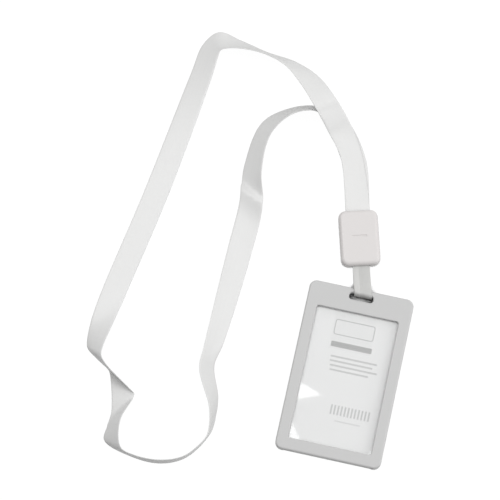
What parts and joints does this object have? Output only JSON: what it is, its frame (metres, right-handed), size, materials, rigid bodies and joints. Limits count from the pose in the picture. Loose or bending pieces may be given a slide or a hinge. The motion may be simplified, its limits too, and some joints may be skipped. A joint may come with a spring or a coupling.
{
  "type": "vertical id card holder",
  "caption": "Upright card holder with a clear window and slide-out back, on a soft strap, a two-shell clasp and a flat neck ribbon.",
  "frame": {"origin": "middle of the holder's back face, which lies on the table", "axes": "+Z out of the window, +Y towards the strap slot, +X to the right of a reader"},
  "size_m": [0.1904, 0.2795, 0.0206],
  "materials": {
    "frame": "fine satin",
    "drawer": "fine satin",
    "pane": "clear polished",
    "card": "smooth card",
    "strap": "soft translucent",
    "clasp": "satin",
    "ribbon": "woven satin"
  },
  "bodies": {
    "lanyard": {"clasp_front": "clasp", "clasp_back": "clasp", "lanyard_ribbon": "ribbon"},
    "strap": {"strap_loop": "strap"},
    "holder": {"front_frame": "frame", "window_pane": "pane"},
    "drawer": {"drawer": "drawer", "id_card": "card"}
  },
  "joints": [
    {"name": "strap_bend", "type": "hinge", "parent": "lanyard", "child": "strap", "pos_m": [-0.00414, 0.06806, 0.004], "axis": [0.9641, 0.2656, 0], "range_deg": [-100, 100], "deforming": ["strap_loop"]},
    {"name": "holder_swing", "type": "hinge", "parent": "strap", "child": "holder", "pos_m": [0.0013, 0.0483, 0.003], "axis": [0, 0, 1], "range_deg": [0, 30]},
    {"name": "drawer_slide", "type": "slide", "parent": "holder", "child": "drawer", "axis": [0, -1, 0], "range_m": [0, 0.088]}
  ]
}
